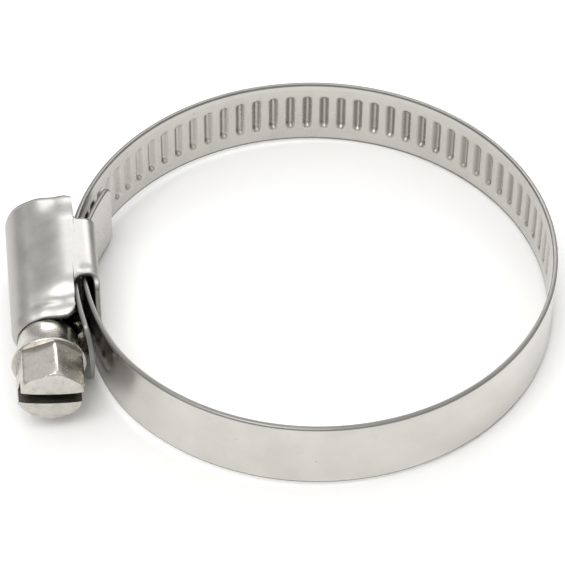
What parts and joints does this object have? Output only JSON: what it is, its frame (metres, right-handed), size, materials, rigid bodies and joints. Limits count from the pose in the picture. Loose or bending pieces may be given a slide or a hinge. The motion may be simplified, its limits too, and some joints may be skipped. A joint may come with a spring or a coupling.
{
  "type": "worm-drive hose clamp",
  "caption": "Stainless worm-drive hose clamp: a strip loop with pressed ridges, a formed housing and a slotted hexagon worm screw that closes the loop.",
  "frame": {"origin": "centre of the loop, half way across the strip's width", "axes": "+Z along the loop's axis, the hose's own axis; the housing is at -X; the screw lies along Y with its head towards -Y"},
  "size_m": [0.0637, 0.0562, 0.0108],
  "materials": {
    "housing_steel": "tumbled satin stainless steel",
    "band_steel": "cold-rolled bright stainless steel, slightly matt inside",
    "screw_steel": "turned and formed stainless steel"
  },
  "bodies": {
    "housing_and_fixed_end": {"housing": "housing_steel", "band_fixed_end": "band_steel"},
    "strip_middle": {"band_middle": "band_steel"},
    "strip_free_end": {"band_free_end": "band_steel"},
    "screw": {"worm_screw": "screw_steel"}
  },
  "joints": [
    {"name": "screw_turn", "type": "hinge", "parent": "housing_and_fixed_end", "child": "screw", "pos_m": [-0.0312, 0, 0], "axis": [0, 1, 0], "range_deg": [0, 1080]},
    {"name": "loop_front", "type": "hinge", "parent": "housing_and_fixed_end", "child": "strip_middle", "pos_m": [0, -0.0268, 0], "axis": [0, 0, 1], "range_deg": [-0.01, 6.56]},
    {"name": "loop_back", "type": "hinge", "parent": "strip_middle", "child": "strip_free_end", "pos_m": [0.00343, 0.02733, 0], "axis": [0, 0, 1], "range_deg": [-0.01, 6.43]}
  ],
  "couplings": [
    {"joint": "loop_front", "follows": "screw_turn", "ratio": 0.0060623},
    {"joint": "loop_back", "follows": "screw_turn", "ratio": 0.0059441}
  ]
}
